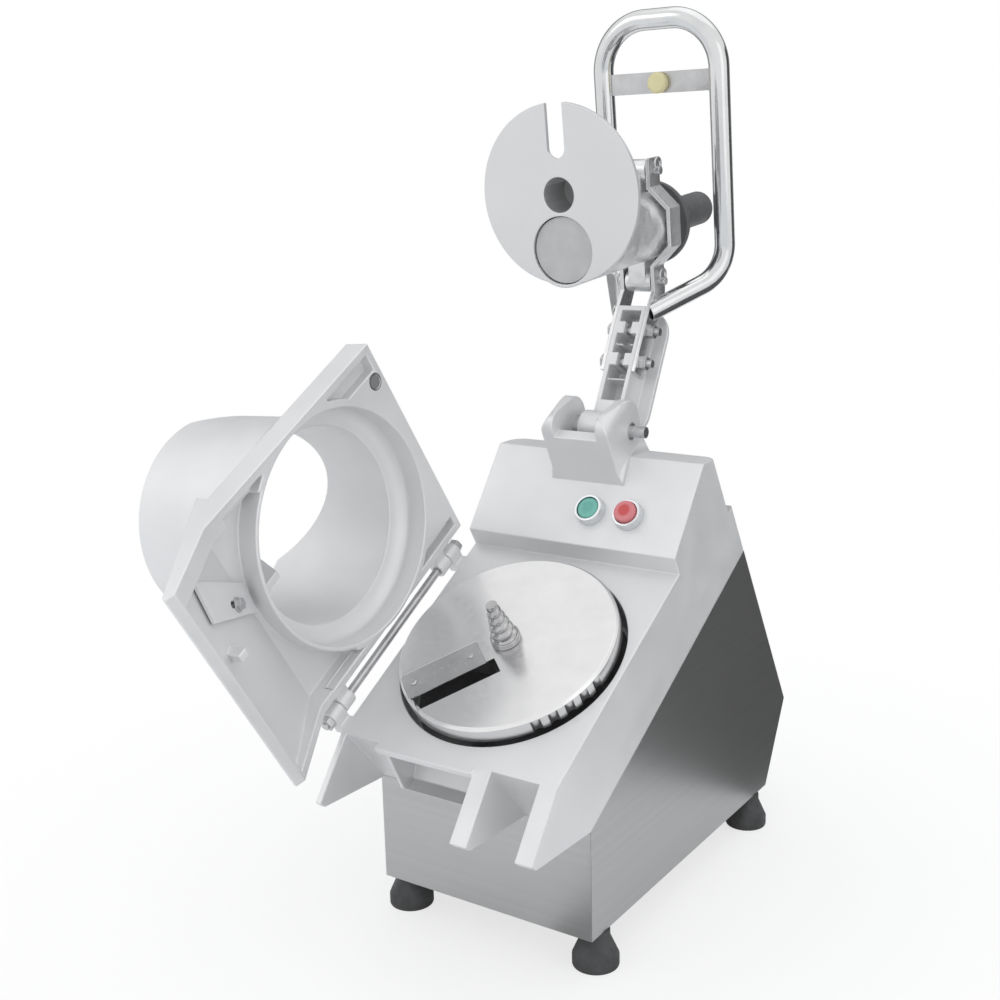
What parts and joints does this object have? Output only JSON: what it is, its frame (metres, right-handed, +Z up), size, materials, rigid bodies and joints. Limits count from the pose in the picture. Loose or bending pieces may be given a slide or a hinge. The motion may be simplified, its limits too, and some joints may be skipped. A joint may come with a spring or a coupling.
{
  "type": "vegetable cutting machine",
  "caption": "Bench-top vegetable cutting machine with a sloped steel cabinet, slicing disc in a cast well, hinged hopper and a lever-operated pusher with plunger.",
  "frame": {"origin": "floor, at the centre of the four feet", "axes": "+X to the machine's right, +Y to the back, +Z up"},
  "size_m": [0.4256, 0.6715, 0.8299],
  "materials": {
    "cast": "satin, fine cast",
    "panel": "brushed",
    "rubber": "matte",
    "steel": "machined",
    "chrome": "polished",
    "polished": "smooth machined",
    "pulley": "turned",
    "motor_paint": "satin",
    "black_plastic": "matte",
    "green": "glossy",
    "red": "glossy",
    "cream": "matte",
    "plunger": "satin"
  },
  "bodies": {
    "base": {"cabinet": "panel", "rear_cover": "panel", "base_plate": "panel", "rear_screws": "steel", "feet": "rubber", "foot_bolts": "steel", "cable_gland": "black_plastic", "top_casting": "cast", "pivot_pin": "steel", "pivot_nut": "steel", "pivot_spacers": "steel", "hinge_rod": "steel", "hinge_nuts": "steel", "button_bezels": "chrome", "contact_blocks": "black_plastic", "reed_switch": "black_plastic", "bearings": "steel", "shaft_seal": "rubber", "drive_belt": "rubber", "motor": "motor_paint", "motor_plate": "steel", "motor_posts": "steel"},
    "disc": {"drive_shaft": "steel", "large_pulley": "pulley", "ejector": "polished", "cutting_disc": "polished", "blade": "steel", "blade_screws": "steel", "hub_screw": "polished"},
    "rotor": {"motor_pulley": "pulley"},
    "hopper": {"hopper": "cast", "magnet": "black_plastic", "latch_plate": "steel", "latch_bolt": "steel"},
    "lever": {"lever_arm": "cast", "left_strap": "steel", "right_strap": "steel", "lever_bolts": "steel", "lever_nuts": "steel", "clevis_pins": "steel", "split_rings": "steel", "pusher": "polished", "handle": "chrome", "crossbar": "steel", "bumper": "cream"},
    "plunger": {"plunger": "plunger"},
    "start_button": {"start_button": "green"},
    "stop_button": {"stop_button": "red"}
  },
  "joints": [
    {"name": "disc_spin", "type": "hinge", "parent": "base", "child": "disc", "pos_m": [0, -0.13535, 0.27521], "axis": [0, -0.5, 0.866], "continuous": true},
    {"name": "motor_spin", "type": "hinge", "parent": "base", "child": "rotor", "pos_m": [0, -0.0297, 0.33621], "axis": [0, -0.5, 0.866], "continuous": true},
    {"name": "hopper_hinge", "type": "hinge", "parent": "base", "child": "hopper", "pos_m": [-0.125, -0.131, 0.26767], "axis": [0, 0.866, 0.5], "range_deg": [0, 94.5]},
    {"name": "lever_pivot", "type": "hinge", "parent": "base", "child": "lever", "pos_m": [0, 0.03137, 0.43843], "axis": [1, 0, 0], "range_deg": [0, 114]},
    {"name": "plunger_slide", "type": "slide", "parent": "lever", "child": "plunger", "axis": [0, 0.9945, 0.1045], "range_m": [0, 0.12]},
    {"name": "start_press", "type": "slide", "parent": "base", "child": "start_button", "axis": [0, 0.7986, -0.6018], "range_m": [0, 0.003], "stiffness_N_per_m": 400},
    {"name": "stop_press", "type": "slide", "parent": "base", "child": "stop_button", "axis": [0, 0.7986, -0.6018], "range_m": [0, 0.003], "stiffness_N_per_m": 400}
  ],
  "couplings": [
    {"joint": "motor_spin", "follows": "disc_spin", "ratio": 3.6}
  ]
}
